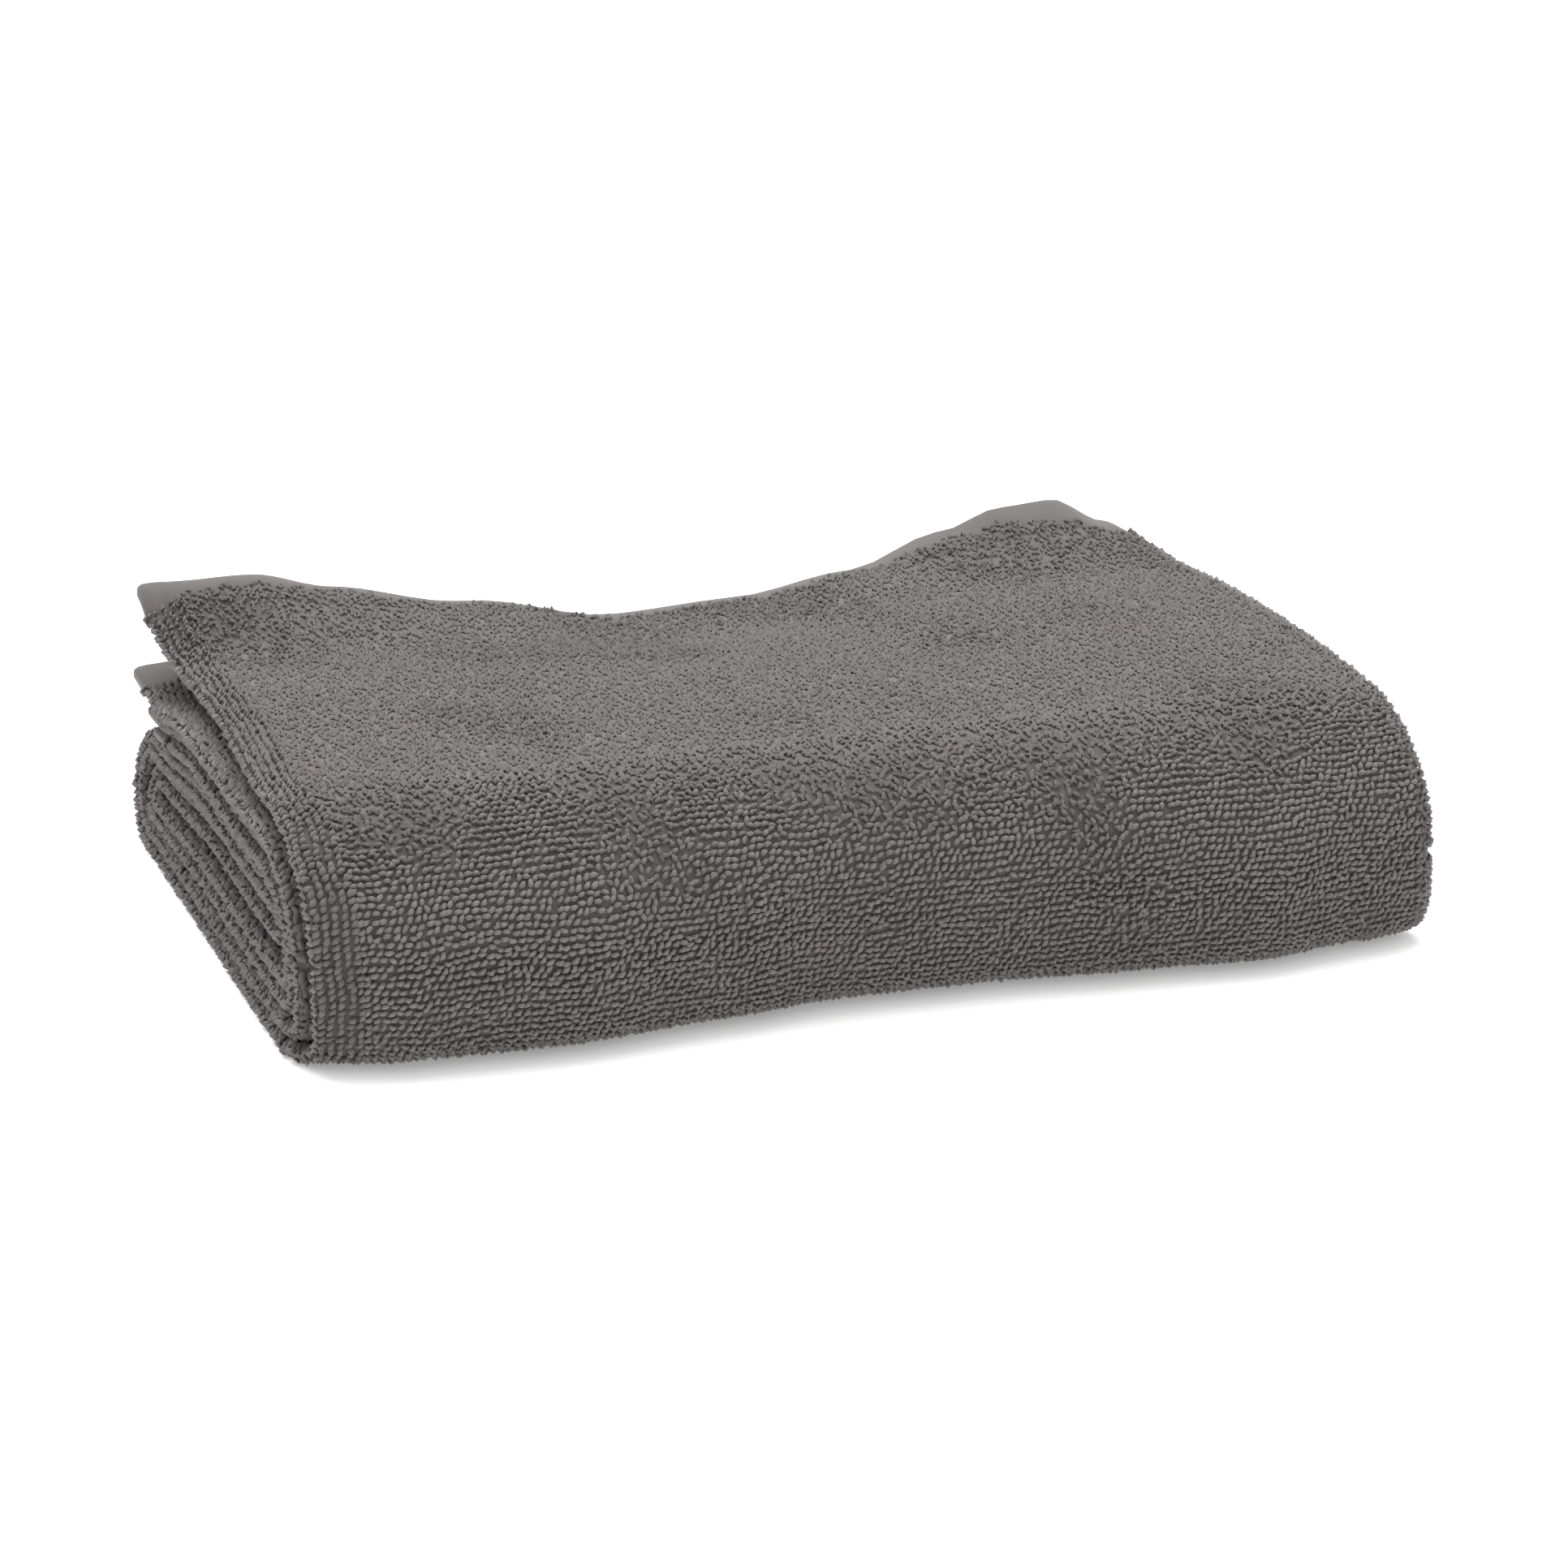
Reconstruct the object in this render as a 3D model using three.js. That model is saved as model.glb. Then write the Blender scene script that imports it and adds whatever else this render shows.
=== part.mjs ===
// A terry bath towel, folded for the shelf: in half along its length, in half across, then in thirds.
// Millimetres. X runs along the folded towel, Y from its front fold to its back, Z up from the shelf.

import * as THREE from "three";

// The cloth
const CLOTH_WIDTH = 700;
const PLY_THICKNESS = 4.4;
const HEM_WIDTH = 17;
const HEM_THICKNESS = 2.6;
const HEM_STEP_WIDTH = 3;
const CLOTH_COLOUR = 0x6e6966;

// The folded stack: its length, its height, and where the flat panels end and the folds begin
const FOLDED_LENGTH = CLOTH_WIDTH / 2;
const STACK_HEIGHT = 72;
const FRONT_FOLD_START = 30;
const BACK_FOLD_START = 205;
const TUCKED_END = 40;
const HEM_LINE = 226;
const TOP_PANEL = HEM_LINE - FRONT_FOLD_START;

// The squareness of a round fold: the weight on the front fold makes its lower half squarer, ply by ply
const ROUND = 2;

// How high up a fold its belly lies, as a share of the fold's height
const MIDWAY = 0.5;
const BACK_BELLY = 0.42;

// How much of the front fold's turn lies above its foot
const FOOT_SHARE = 0.7;

// The four plies of a panel, outermost first. The heights are those of the ply's middle in each panel,
// front and back say how far its folds reach, square how square the front fold's lower half is, hem where
// its hem ends short of the hem line, and curl how much of the back left corner's curl it takes.
const PLIES = [
  { bottom: 2.2, middle: 43.0, top: 70.2, front: -9.6, back: 229.0, square: 5.5, hem: 0, curl: 1 },
  { bottom: 7.3, middle: 38.0, top: 61.8, front: -3.0, back: 223.0, square: 4.5, hem: 6, curl: 0.12 },
  { bottom: 12.5, middle: 32.2, top: 56.4, front: 4.0, back: 217.0, square: 3.6, hem: 24, curl: 0 },
  { bottom: 17.7, middle: 25.8, top: 51.0, front: 11.0, back: 209.5, square: 3.0, hem: 32, curl: 0 },
];

// Where each ply's selvedge lies from the left end: at its hem, in the middle of the top panel, where that
// panel meets the front fold, round that fold, in the bottom panel and in the middle one
const SELVEDGES = [
  { hem: 0.0, top: 2.3, fold: -0.8, front: 2.0, bottom: -3.5, middle: 0.5 },
  { hem: -2.5, top: -5.0, fold: -4.2, front: -1.5, bottom: -2.5, middle: 0.0 },
  { hem: -1.5, top: -1.5, fold: -1.5, front: -2.0, bottom: -1.0, middle: 3.0 },
  { hem: -1.5, top: -3.0, fold: -3.0, front: -1.0, bottom: 0.0, middle: 2.0 },
];

// The shares of the top panel at which its selvedge leaves the hem's place, has reached the middle's and
// leaves that for the fold's
const HEM_LEFT = 0.12;
const MIDDLE_REACHED = 0.28;
const MIDDLE_LEFT = 0.6;

// How far the folded end at the right is drawn in under the stack
const DRAWN_IN = 3.5;

// How far the front fold's foot comes forward along its length
const FRONT_EDGE = [
  { x: 0, forward: 1 },
  { x: 30, forward: 9 },
  { x: 75, forward: 11 },
  { x: 125, forward: 5 },
  { x: 160, forward: 0 },
  { x: 205, forward: 1 },
  { x: 250, forward: 6 },
  { x: 290, forward: 10 },
  { x: 325, forward: 4 },
  { x: 350, forward: 0 },
];
const FORWARD_REACH = 85;
const LEVEL_SHARE = 0.35;

// The stack's crest before the hems: how far it rises or sags from the level stack along its length, and how
// far the hems hang down behind it
const BACK_EDGE = [
  { x: 0, rise: 7, droop: 0 },
  { x: 13, rise: 10.5, droop: 3.5 },
  { x: 40, rise: 12.8, droop: 4 },
  { x: 65, rise: 12, droop: 8 },
  { x: 110, rise: 5.5, droop: 12 },
  { x: 160, rise: -4, droop: 12 },
  { x: 205, rise: -2, droop: 12 },
  { x: 245, rise: 3, droop: 9 },
  { x: 278, rise: 7.5, droop: 2 },
  { x: 300, rise: 12.2, droop: 0 },
  { x: 319, rise: 13.4, droop: 0 },
  { x: 338, rise: 7.2, droop: 3 },
  { x: 350, rise: -1, droop: 3 },
];
const RISE_REACH = 60;
const RISE_POWER = 3;
const SAG_REACH = 150;
const DROOP_REACH = 36;

// Soft hollows and swells of the stack, each with its middle, its half-widths and its moves at the top
const SWELLS = [
  { what: "long trough before the hems", x: 150, y: 178, alongX: 150, alongY: 30, rise: -4, right: 0 },
  { what: "crown over the right end", x: 345, y: 125, alongX: 90, alongY: 75, rise: 3.5, right: 0 },
  { what: "hollow before the hump", x: 235, y: 120, alongX: 34, alongY: 30, rise: -2, right: 0 },
  { what: "left end's shoulder", x: 0, y: 60, alongX: 60, alongY: 45, rise: -2, right: 0 },
  { what: "front fold's far corner", x: 350, y: -5, alongX: 60, alongY: 40, rise: -3, right: -2.5 },
];

// The back left corner: the plies settle there, and the hem's curl up and out off the others
const CORNER = {
  settle: { by: 14, alongX: 80, alongY: 110 },
  curl: { up: 8, forward: 12, left: 1.2, alongX: 90, alongY: 50 },
};

// Steps along each stretch of the fold, in the order in which the cloth runs, hem to hem
const TUCK_STEPS = 6;
const STRETCHES = [
  { name: "top", steps: 8 },
  { name: "front", steps: 9 },
  { name: "bottom", steps: 7 },
  { name: "back", steps: 8 },
  { name: "middle", steps: 9 },
];

// Steps across the cloth, as shares of the folded length, and around the fold at the right end
const ACROSS = [0, 0.03, 0.08, 0.17, 0.29, 0.43, 0.57, 0.7, 0.8, 0.87, 0.93, 1];
const ROUND_STEPS = 5;
const SELVEDGE_ROUNDING = 1.2;

const smooth = (v) => {
  const t = THREE.MathUtils.clamp(v, 0, 1);
  return t * t * (3 - 2 * t);
};

const powered = (v, squareness) => Math.sign(v) * Math.abs(v) ** (2 / squareness);

// A half turn in the YZ plane from height zStart to zEnd, bulging from y to reach
function halfTurn({ y, reach, zStart, zEnd, belly = MIDWAY, lower = ROUND }, share) {
  const angle = Math.PI * share;
  const rise = Math.cos(angle) * Math.sign(zStart - zEnd);
  const squareness = rise > 0 ? ROUND : lower;
  const room = rise > 0 ? 1 - belly : belly;
  return {
    y: y + (reach - y) * powered(Math.sin(angle), squareness),
    z: Math.min(zStart, zEnd) + Math.abs(zStart - zEnd) * (belly + room * powered(rise, squareness)),
  };
}

// Where the selvedge of the top panel lies at a share of it
function topEdge({ hem, top, fold }, share) {
  const toMiddle = smooth((share - HEM_LEFT) / (MIDDLE_REACHED - HEM_LEFT));
  const toFold = smooth((share - MIDDLE_LEFT) / (1 - MIDDLE_LEFT));
  return hem + (top - hem) * toMiddle + (fold - top) * toFold;
}

// The middle of a ply at a share of one stretch, where its selvedge lies there, how far its right end is
// drawn in and how much it curls at the corner
function plyAt(index, stretch, share) {
  const { lerp } = THREE.MathUtils;
  const ply = PLIES[index];
  const selvedge = SELVEDGES[index];
  switch (stretch) {
    case "top": {
      const y = lerp(HEM_LINE - ply.hem, FRONT_FOLD_START, share);
      return { y, z: ply.top, left: topEdge(selvedge, share), drawn: 0, curl: ply.curl };
    }
    case "front": {
      const turn = { y: FRONT_FOLD_START, reach: ply.front, zStart: ply.top, zEnd: ply.bottom };
      const toFoot = lerp(selvedge.fold, selvedge.front, smooth(share / FOOT_SHARE));
      const underFoot = smooth((share - FOOT_SHARE) / (1 - FOOT_SHARE));
      const left = lerp(toFoot, selvedge.bottom, underFoot);
      const drawn = DRAWN_IN * underFoot;
      return { ...halfTurn({ ...turn, lower: ply.square }, share), left, drawn, curl: 0 };
    }
    case "bottom": {
      const y = lerp(FRONT_FOLD_START, BACK_FOLD_START, share);
      return { y, z: ply.bottom, left: selvedge.bottom, drawn: DRAWN_IN, curl: 0 };
    }
    case "back": {
      const turn = { y: BACK_FOLD_START, reach: ply.back, zStart: ply.bottom, zEnd: ply.middle };
      const left = lerp(selvedge.bottom, selvedge.middle, smooth(share));
      const drawn = DRAWN_IN * (1 - smooth(share));
      return { ...halfTurn({ ...turn, belly: BACK_BELLY }, share), left, drawn, curl: 0 };
    }
    default: {
      const y = lerp(BACK_FOLD_START, TUCKED_END, share);
      return { y, z: ply.middle, left: selvedge.middle, drawn: 0, curl: 0 };
    }
  }
}

// The stations along the cloth: out to the tucked end in the outer plies, round it and back in the inner
// ones. A narrow step at each hem is where the pile starts.
function stations() {
  const list = [];
  const hemShares = [0, HEM_WIDTH / TOP_PANEL, (HEM_WIDTH + HEM_STEP_WIDTH) / TOP_PANEL];
  for (const { name, steps } of STRETCHES) {
    const first = name === "top" ? hemShares.at(-1) : 0;
    const shares = name === "top" ? hemShares.slice(0, -1) : [];
    for (let i = 0; i < steps; i++) shares.push(first + ((1 - first) * i) / steps);
    for (const share of shares) list.push({ stretch: name, share, inner: false });
  }
  list.push({ stretch: "middle", share: 1, inner: false });
  const back = list.map((station) => ({ ...station, inner: true })).reverse();
  const tuck = [];
  for (let i = 1; i < TUCK_STEPS; i++) tuck.push({ stretch: "tuck", share: i / TUCK_STEPS });
  return [...list, ...tuck, ...back];
}

// The middle of one of the doubled cloth's two sides at a station: side 0 is the outer one all the way
function sideAt(side, station) {
  const outward = side;
  const inward = 3 - side;
  if (station.stretch !== "tuck") {
    return plyAt(station.inner ? inward : outward, station.stretch, station.share);
  }
  const zStart = PLIES[outward].middle;
  const zEnd = PLIES[inward].middle;
  const turn = { y: TUCKED_END, reach: TUCKED_END - (zStart - zEnd) / 2, zStart, zEnd };
  const from = SELVEDGES[outward].middle;
  const to = SELVEDGES[inward].middle;
  const left = THREE.MathUtils.lerp(from, to, smooth(station.share));
  return { ...halfTurn(turn, station.share), left, drawn: 0, curl: 0 };
}

// The unit vector across a side's path, from the inner side of the doubled cloth to the outer one
function acrossPath(side, path, k) {
  const before = sideAt(side, path[Math.max(k - 1, 0)]);
  const after = sideAt(side, path[Math.min(k + 1, path.length - 1)]);
  return new THREE.Vector2(after.z - before.z, before.y - after.y).normalize();
}

// The value of one column of a table at x, on a smooth curve through its rows
function columnAt(rows, column, x) {
  const place = rows.findIndex((row) => row.x > x);
  const i = place < 0 ? rows.length - 2 : Math.max(place - 1, 0);
  const share = (x - rows[i].x) / (rows[i + 1].x - rows[i].x);
  return THREE.MathUtils.lerp(rows[i][column], rows[i + 1][column], smooth(share));
}

// Moves a point of the level stack to where it lies in the uneven one
function settle(x, y, z, curling) {
  const height = z / STACK_HEIGHT;
  const nearBack = (reach) => smooth((y - HEM_LINE + reach) / reach);
  const nearCorner = ({ alongX, alongY }) => smooth(1 - x / alongX) * nearBack(alongY);
  const edge = columnAt(BACK_EDGE, "rise", x);
  const sag = Math.min(edge, 0) * nearBack(SAG_REACH);
  const place = new THREE.Vector3(x, y, z + sag * height);
  place.z += Math.max(edge, 0) * nearBack(RISE_REACH) * height ** RISE_POWER;
  const pastCrest = THREE.MathUtils.clamp((y - HEM_LINE) / DROOP_REACH + 1, 0, 1);
  place.z -= columnAt(BACK_EDGE, "droop", x) * pastCrest ** 2 * height;
  for (const swell of SWELLS) {
    const near = Math.exp(-(((x - swell.x) / swell.alongX) ** 2) - ((y - swell.y) / swell.alongY) ** 2);
    place.z += swell.rise * near * height;
    place.x += swell.right * near * height;
  }
  const { settle: drop, curl } = CORNER;
  const up = new THREE.Vector3(-curl.left, -curl.forward, curl.up);
  place.addScaledVector(up, curling * nearCorner(curl));
  place.z -= drop.by * height * (1 - curling) * nearCorner(drop);
  const nearFoot = smooth(1 - y / FORWARD_REACH) * (1 - smooth((height - LEVEL_SHARE) / (1 - LEVEL_SHARE)));
  place.y -= columnAt(FRONT_EDGE, "forward", x) * nearFoot;
  return place;
}

// One ring of points around the doubled cloth at a station
function ringAt(path, k) {
  const station = path[k];
  const inHem = station.stretch === "top" && station.share * TOP_PANEL <= HEM_WIDTH;
  const half = (inHem ? HEM_THICKNESS : PLY_THICKNESS) / 2;
  const middles = [sideAt(0, station), sideAt(1, station)];
  const normals = [acrossPath(0, path, k), acrossPath(1, path, k)];
  const between = new THREE.Vector2(middles[0].y - middles[1].y, middles[0].z - middles[1].z);
  const radius = between.length() / 2;
  const apart = between.normalize();
  const centre = { y: (middles[0].y + middles[1].y) / 2, z: (middles[0].z + middles[1].z) / 2 };
  const right = FOLDED_LENGTH - radius - half - middles[0].drawn;
  const curling = middles.map((middle) => middle.curl);

  const face = (side, sign) =>
    ACROSS.map((share) => {
      const { y, z, left } = middles[side];
      const x = left + SELVEDGE_ROUNDING + share * (right - left - SELVEDGE_ROUNDING);
      const n = normals[side];
      return settle(x, y + sign * half * n.x, z + sign * half * n.y, curling[side]);
    });
  const round = (sign) => {
    const points = [];
    for (let i = 1; i < ROUND_STEPS; i++) {
      const angle = (Math.PI * i) / ROUND_STEPS;
      const r = radius + sign * half;
      const out = Math.cos(angle) * r;
      const x = right + Math.sin(angle) * r;
      points.push(settle(x, centre.y + out * apart.x, centre.z + out * apart.y, 0));
    }
    return points;
  };
  const selvedge = (side, sign) =>
    [sign, -sign].map((s) => {
      const { y, z, left } = middles[side];
      const n = normals[side];
      return settle(left, y + (s * half * n.x) / 2, z + (s * half * n.y) / 2, curling[side]);
    });

  const outer = [...face(0, 1), ...round(1), ...face(1, -1).reverse()];
  const inner = [...face(0, -1), ...round(-1), ...face(1, 1).reverse()];
  return { outer, inner, ends: [selvedge(0, -1), selvedge(1, -1)] };
}

// The closed surface: the rings joined along the cloth, and the two hems' ends
function clothGeometry() {
  const path = stations();
  const rings = path.map((_, k) => ringAt(path, k));
  const chain = ({ outer, inner, ends }) => [...outer, ...ends[1], ...[...inner].reverse(), ...ends[0]];
  const positions = rings.flatMap((ring) => chain(ring).flatMap((p) => p.toArray()));
  const count = chain(rings[0]).length;
  const faces = [];
  const quad = (a, b, c, d) => faces.push(a, b, c, a, c, d);
  for (let k = 0; k + 1 < rings.length; k++) {
    for (let i = 0; i < count; i++) {
      const next = (i + 1) % count;
      quad(k * count + i, (k + 1) * count + i, (k + 1) * count + next, k * count + next);
    }
  }
  const across = rings[0].outer.length;
  const cap = (first, flip) => {
    const put = (a, b, c, d) => (flip ? quad(d, c, b, a) : quad(a, b, c, d));
    const inner = (i) => first + count - 3 - i;
    for (let i = 0; i + 1 < across; i++) put(first + i, inner(i), inner(i + 1), first + i + 1);
    put(first + across - 1, inner(across - 1), first + across + 1, first + across);
    put(first, first + count - 1, first + count - 2, inner(0));
  };
  cap(0, true);
  cap((rings.length - 1) * count, false);
  const geometry = new THREE.BufferGeometry();
  geometry.setAttribute("position", new THREE.Float32BufferAttribute(positions, 3));
  geometry.setIndex(faces);
  return geometry;
}

function towel() {
  const geometry = clothGeometry();
  geometry.computeBoundingBox();
  const middle = geometry.boundingBox.getCenter(new THREE.Vector3());
  geometry.translate(-middle.x, -middle.y, 0);
  geometry.computeVertexNormals();
  const material = new THREE.MeshStandardMaterial({ color: CLOTH_COLOUR, roughness: 0.95, metalness: 0 });
  const mesh = new THREE.Mesh(geometry, material);
  mesh.name = "towel";
  return mesh;
}

const foldedTowel = new THREE.Group();
foldedTowel.add(towel());

export default foldedTowel;
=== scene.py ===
from math import cos, pi, radians, sin

import bpy
import numpy as np
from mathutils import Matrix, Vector


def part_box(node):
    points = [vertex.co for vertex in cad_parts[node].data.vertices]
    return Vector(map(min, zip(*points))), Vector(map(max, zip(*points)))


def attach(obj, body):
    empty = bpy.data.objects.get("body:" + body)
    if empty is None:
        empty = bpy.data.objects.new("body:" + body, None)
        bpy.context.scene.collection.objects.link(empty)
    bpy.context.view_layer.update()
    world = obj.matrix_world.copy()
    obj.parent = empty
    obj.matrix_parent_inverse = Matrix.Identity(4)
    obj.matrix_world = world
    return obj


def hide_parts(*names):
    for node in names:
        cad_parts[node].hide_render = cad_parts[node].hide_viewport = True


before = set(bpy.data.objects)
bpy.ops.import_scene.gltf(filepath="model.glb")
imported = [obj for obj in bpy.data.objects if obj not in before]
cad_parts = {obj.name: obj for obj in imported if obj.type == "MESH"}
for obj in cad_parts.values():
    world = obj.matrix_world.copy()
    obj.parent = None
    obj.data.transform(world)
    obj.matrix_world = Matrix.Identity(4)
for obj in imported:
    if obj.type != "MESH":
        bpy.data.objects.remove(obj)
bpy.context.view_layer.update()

# A terry bath towel folded in half along its length, in half across and then in thirds. Sizes are
# in millimetres, and MM turns them into metres. X runs along the folded towel, Y from its front
# fold to its back.
MM = 0.001

# The cloth: the ground weave, the loops that stand on both its faces, and the flat hem, with the
# distance from its edge at which it begins to step down to the weave
CLOTH_WIDTH = 700
PLY_THICKNESS = 4.4
GROUND_THICKNESS = 1.6
HEM_WIDTH = 22
HEM_THICKNESS = 2.6
HEM_STEP_START = 21
HEM_STEP_WIDTH = 3
HEM_CORNER_RADIUS = 5

# The folded stack: its length, its height, and where the flat panels end and the folds begin
FOLDED_LENGTH = CLOTH_WIDTH / 2
STACK_HEIGHT = 72
FRONT_FOLD_START = 30
BACK_FOLD_START = 205
TUCKED_END = 40
HEM_LINE = 226

# The squareness of a round fold, how high up its belly lies, and how much of the front one is
# above its foot
ROUND = 2
MIDWAY = 0.5
BACK_BELLY = 0.42
FOOT_SHARE = 0.7

# The four plies of a panel, outermost first: the height of its middle in each panel, how far its
# folds reach, how square the front fold's lower half is, where its hem ends short of the hem line,
# and how much of the back left corner's curl it takes
PLIES = [
    {
        "bottom": 2.2, "middle": 43.0, "top": 70.2, "front": -9.6, "back": 229.0,
        "square": 5.5, "hem": 0, "curl": 1,
    },
    {
        "bottom": 7.3, "middle": 38.0, "top": 61.8, "front": -3.0, "back": 223.0,
        "square": 4.5, "hem": 6, "curl": 0.12,
    },
    {
        "bottom": 12.5, "middle": 32.2, "top": 56.4, "front": 4.0, "back": 217.0,
        "square": 3.6, "hem": 24, "curl": 0,
    },
    {
        "bottom": 17.7, "middle": 25.8, "top": 51.0, "front": 11.0, "back": 209.5,
        "square": 3.0, "hem": 32, "curl": 0,
    },
]

# Where each ply's selvedge lies from the left end: at its hem, in the middle of the top panel,
# where that panel meets the front fold, round that fold, in the bottom panel and in the middle one
SELVEDGES = [
    {"hem": 0.0, "top": 2.3, "fold": -0.8, "front": 2.0, "bottom": -3.5, "middle": 0.5},
    {"hem": -2.5, "top": -5.0, "fold": -4.2, "front": -1.5, "bottom": -2.5, "middle": 0.0},
    {"hem": -1.5, "top": -1.5, "fold": -1.5, "front": -2.0, "bottom": -1.0, "middle": 3.0},
    {"hem": -1.5, "top": -3.0, "fold": -3.0, "front": -1.0, "bottom": 0.0, "middle": 2.0},
]

# The shares of the top panel at which its selvedge leaves the hem's place, has reached the
# middle's and leaves that for the fold's
HEM_LEFT = 0.12
MIDDLE_REACHED = 0.28
MIDDLE_LEFT = 0.6

# How far the folded end at the right is drawn in under the stack
DRAWN_IN = 3.5

# How far the front fold's foot comes forward along its length, how far back from the front that
# reaches, and up to what share of the height it is whole
FRONT_EDGE = {
    "x": [0, 30, 75, 125, 160, 205, 250, 290, 325, 350],
    "forward": [1, 9, 11, 5, 0, 1, 6, 10, 4, 0],
}
FORWARD_REACH = 85
LEVEL_SHARE = 0.35

# The stack's crest before the hems: how far it rises or sags from the level stack along its
# length, and how far the hems hang down behind it. Below come how far forward each of these
# reaches, and the power of the height by which a rise fades in the plies below.
BACK_EDGE = {
    "x": [0, 13, 40, 65, 110, 160, 205, 245, 278, 300, 319, 338, 350],
    "rise": [7, 10.5, 12.8, 10.4, 2.4, -6.8, -4.8, 0.9, 7.5, 12.2, 13.4, 7.2, -1],
    "droop": [0, 3.5, 4, 6, 6, 6, 6, 6, 2, 0, 0, 3, 3],
}
RISE_REACH = 60
RISE_POWER = 3
SAG_REACH = 150
DROOP_REACH = 36

# Soft hollows and swells of the stack: the long trough before the hems, the crown over the right
# end, the hollow before the hump, the left end's shoulder and the front fold's far corner. Each
# has its middle, its half-widths and its moves at the top.
SWELLS = [
    {"x": 150, "y": 178, "along_x": 150, "along_y": 30, "rise": -4, "right": 0},
    {"x": 345, "y": 125, "along_x": 90, "along_y": 75, "rise": 3.5, "right": 0},
    {"x": 235, "y": 120, "along_x": 34, "along_y": 30, "rise": -2, "right": 0},
    {"x": 0, "y": 60, "along_x": 60, "along_y": 45, "rise": -2, "right": 0},
    {"x": 350, "y": -5, "along_x": 60, "along_y": 40, "rise": -3, "right": -2.5},
]

# The back left corner: the plies settle there, and the hem's curl up and out off the others
CORNER_SETTLE = {"by": 14, "along_x": 80, "along_y": 110}
CORNER_CURL = {"up": 8, "forward": 12, "left": 1.2, "along_x": 90, "along_y": 50}

# Steps of the cloth's surface along each stretch of the fold, with those of the top panel closer
# together at the hem, and round the tucked end
STRETCHES = {"top": 44, "front": 32, "bottom": 12, "back": 16, "middle": 16}
TOWARDS_HEM = 1.35
TUCK_STEPS = 8

# How many stations the ground weave and the pile have for each of those steps
GROUND_FINENESS = 1
PILE_FINENESS = 4

# The surface's steps across the cloth, how much closer together they are at its two ends, and its
# steps around the fold at the right end
ACROSS_STEPS = 50
ENDS_CLOSER = 0.4
ROUND_STEPS = 6

# How far the selvedge is rounded, and how far it lies in where loops stand on it
SELVEDGE_ROUNDING = 0.6
RIM_INSET = 1.8


def smooth(v):
    """A smooth step from 0 to 1."""
    t = np.clip(v, 0, 1)
    return t * t * (3 - 2 * t)


def powered(v, squareness):
    return np.sign(v) * np.abs(v) ** (2 / squareness)


def lerp(a, b, share):
    return a + (b - a) * share


def half_turn(y, reach, z_start, z_end, share, belly=MIDWAY, lower=ROUND):
    """A half turn in the YZ plane from one height to another, bulging from y to reach."""
    rise = np.cos(pi * share) * np.sign(z_start - z_end)
    squareness = np.where(rise > 0, ROUND, lower)
    room = np.where(rise > 0, 1 - belly, belly)
    out = y + (reach - y) * powered(np.maximum(np.sin(pi * share), 0), squareness)
    up = min(z_start, z_end) + abs(z_start - z_end) * (belly + room * powered(rise, squareness))
    return out, up


def top_edge(selvedge, share):
    """Where the selvedge of the top panel lies at a share of it."""
    to_middle = smooth((share - HEM_LEFT) / (MIDDLE_REACHED - HEM_LEFT))
    to_fold = smooth((share - MIDDLE_LEFT) / (1 - MIDDLE_LEFT))
    at_middle = lerp(selvedge["hem"], selvedge["top"], to_middle)
    return at_middle + (selvedge["fold"] - selvedge["top"]) * to_fold


def ply_line(index, stretch, share):
    """The middle of a ply along one stretch: its y, its z, where its selvedge lies, how far its
    right end is drawn in, and its curl."""
    ply, selvedge = PLIES[index], SELVEDGES[index]
    level, none = np.ones_like(share), np.zeros_like(share)
    if stretch == "top":
        y = lerp(HEM_LINE - ply["hem"], FRONT_FOLD_START, share)
        return y, level * ply["top"], top_edge(selvedge, share), none, level * ply["curl"]
    if stretch == "front":
        to_foot = lerp(selvedge["fold"], selvedge["front"], smooth(share / FOOT_SHARE))
        under_foot = smooth((share - FOOT_SHARE) / (1 - FOOT_SHARE))
        y, z = half_turn(
            FRONT_FOLD_START, ply["front"], ply["top"], ply["bottom"], share, lower=ply["square"]
        )
        left = lerp(to_foot, selvedge["bottom"], under_foot)
        return y, z, left, DRAWN_IN * under_foot, none
    if stretch == "bottom":
        y = lerp(FRONT_FOLD_START, BACK_FOLD_START, share)
        return y, level * ply["bottom"], level * selvedge["bottom"], level * DRAWN_IN, none
    if stretch == "back":
        y, z = half_turn(
            BACK_FOLD_START, ply["back"], ply["bottom"], ply["middle"], share, belly=BACK_BELLY
        )
        left = lerp(selvedge["bottom"], selvedge["middle"], smooth(share))
        return y, z, left, DRAWN_IN * smooth(1 - share), none
    y = lerp(BACK_FOLD_START, TUCKED_END, share)
    return y, level * ply["middle"], level * selvedge["middle"], none, none


def shares_of(stretch, fineness):
    """The shares of a stretch at which its stations lie, but for its end."""
    steps = STRETCHES[stretch] * fineness
    share = np.arange(steps) / steps
    return share**TOWARDS_HEM if stretch == "top" else share


def hem_corner(from_hem):
    """How far a rounded hem corner draws the selvedge in, by the distance from the hem's edge."""
    short = np.maximum(HEM_CORNER_RADIUS - from_hem, 0)
    return HEM_CORNER_RADIUS - np.sqrt(HEM_CORNER_RADIUS**2 - short**2)


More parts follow.
